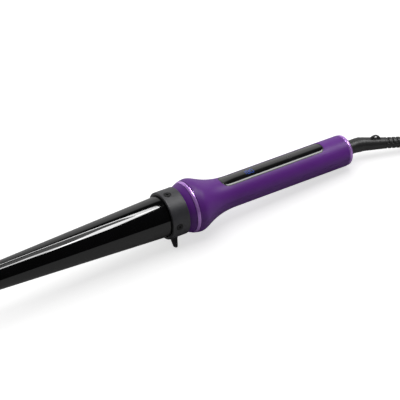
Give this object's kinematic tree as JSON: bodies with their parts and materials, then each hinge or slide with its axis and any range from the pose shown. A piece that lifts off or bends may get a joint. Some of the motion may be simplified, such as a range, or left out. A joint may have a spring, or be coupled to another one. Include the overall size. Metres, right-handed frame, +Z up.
{
  "type": "curling wand",
  "caption": "Conical ceramic hair curling wand with a purple touch-control handle, collar with rest feet, swivel cord outlet and a tied mains lead with a two-pin plug.",
  "frame": {"origin": "on the surface the wand rests on, under the middle of the wand without its cord", "axes": "+X from the cool tip towards the cord outlet, +Y across the wand, +Z up; the wand stands on its two feet and the rear edge of its handle"},
  "size_m": [0.6799, 0.0603, 0.0428],
  "materials": {
    "black_barrel_coat": "gloss black ceramic coating on the barrel",
    "cool_tip_plastic": "satin black heat-resistant plastic",
    "insulator": "pale heat-resistant insulating ring and heating ceramic",
    "phenolic": "brown heat-resistant moulding",
    "steel": "plain bright steel",
    "spreader_aluminium": "plain aluminium",
    "collar_plastic": "satin charcoal heat-resistant plastic",
    "blackened_screw": "blackened steel",
    "purple_soft_touch": "soft-touch purple paint over plastic",
    "lilac_metal": "lilac anodised trim",
    "panel_gloss": "gloss black touch panel",
    "panel_bezel_plastic": "dark frame round the panel",
    "display_plastic": "display module",
    "board_laminate": "green circuit board",
    "component_black": "black component moulding",
    "capacitor_film": "orange film capacitor",
    "spring_brass": "spring bronze and slip rings",
    "wire_red": "red wire insulation",
    "wire_white": "white glass-sleeved wire",
    "wire_blue": "blue wire insulation",
    "bearing_plastic": "natural acetal",
    "boot_rubber": "satin black moulded rubber",
    "cord_rubber": "black cord sheath",
    "tie_strap": "black hook-and-loop strap",
    "plug_plastic": "black plug moulding",
    "pin_nickel": "nickel-plated plug pins"
  },
  "bodies": {
    "wand": {"barrel": "black_barrel_coat", "cool_tip": "cool_tip_plastic", "tip_ring": "insulator", "tip_screw": "steel", "spreader_upper": "spreader_aluminium", "spreader_lower": "spreader_aluminium", "heater_element": "insulator", "heater_pads": "spreader_aluminium", "temperature_sensor": "spring_brass", "thermal_fuse": "steel", "heater_leads": "wire_white", "barrel_mount": "phenolic", "heat_shield": "steel", "collar": "collar_plastic", "collar_screws": "blackened_screw", "handle_top": "purple_soft_touch", "handle_bottom": "purple_soft_touch", "trim_ring": "lilac_metal", "rear_ring": "lilac_metal", "shell_screws": "steel", "touch_panel": "panel_gloss", "panel_bezel": "panel_bezel_plastic", "display_module": "display_plastic", "touch_springs": "spring_brass", "control_board": "board_laminate", "board_screws": "steel", "power_switch_chip": "component_black", "controller_chip": "component_black", "capacitor": "capacitor_film", "brush_holder": "bearing_plastic", "brushes": "spring_brass", "board_leads": "wire_red", "swivel_bearing": "bearing_plastic"},
    "swivel": {"swivel_shaft": "component_black", "slip_rings": "spring_brass", "retaining_clip": "steel", "shaft_washer": "bearing_plastic", "swivel_leads": "wire_blue", "cord_boot": "boot_rubber", "strain_relief": "boot_rubber", "cord_lead": "cord_rubber", "cord_hank": "cord_rubber", "cord_tie": "tie_strap", "cord_tail": "cord_rubber", "plug_body": "plug_plastic", "plug_relief": "plug_plastic", "plug_pins": "pin_nickel", "plug_sleeves": "plug_plastic"}
  },
  "joints": [
    {"name": "cord_swivel", "type": "hinge", "parent": "wand", "child": "swivel", "pos_m": [0.15087, 0, 0.01266], "axis": [0.998, 0, -0.0636], "continuous": true}
  ]
}
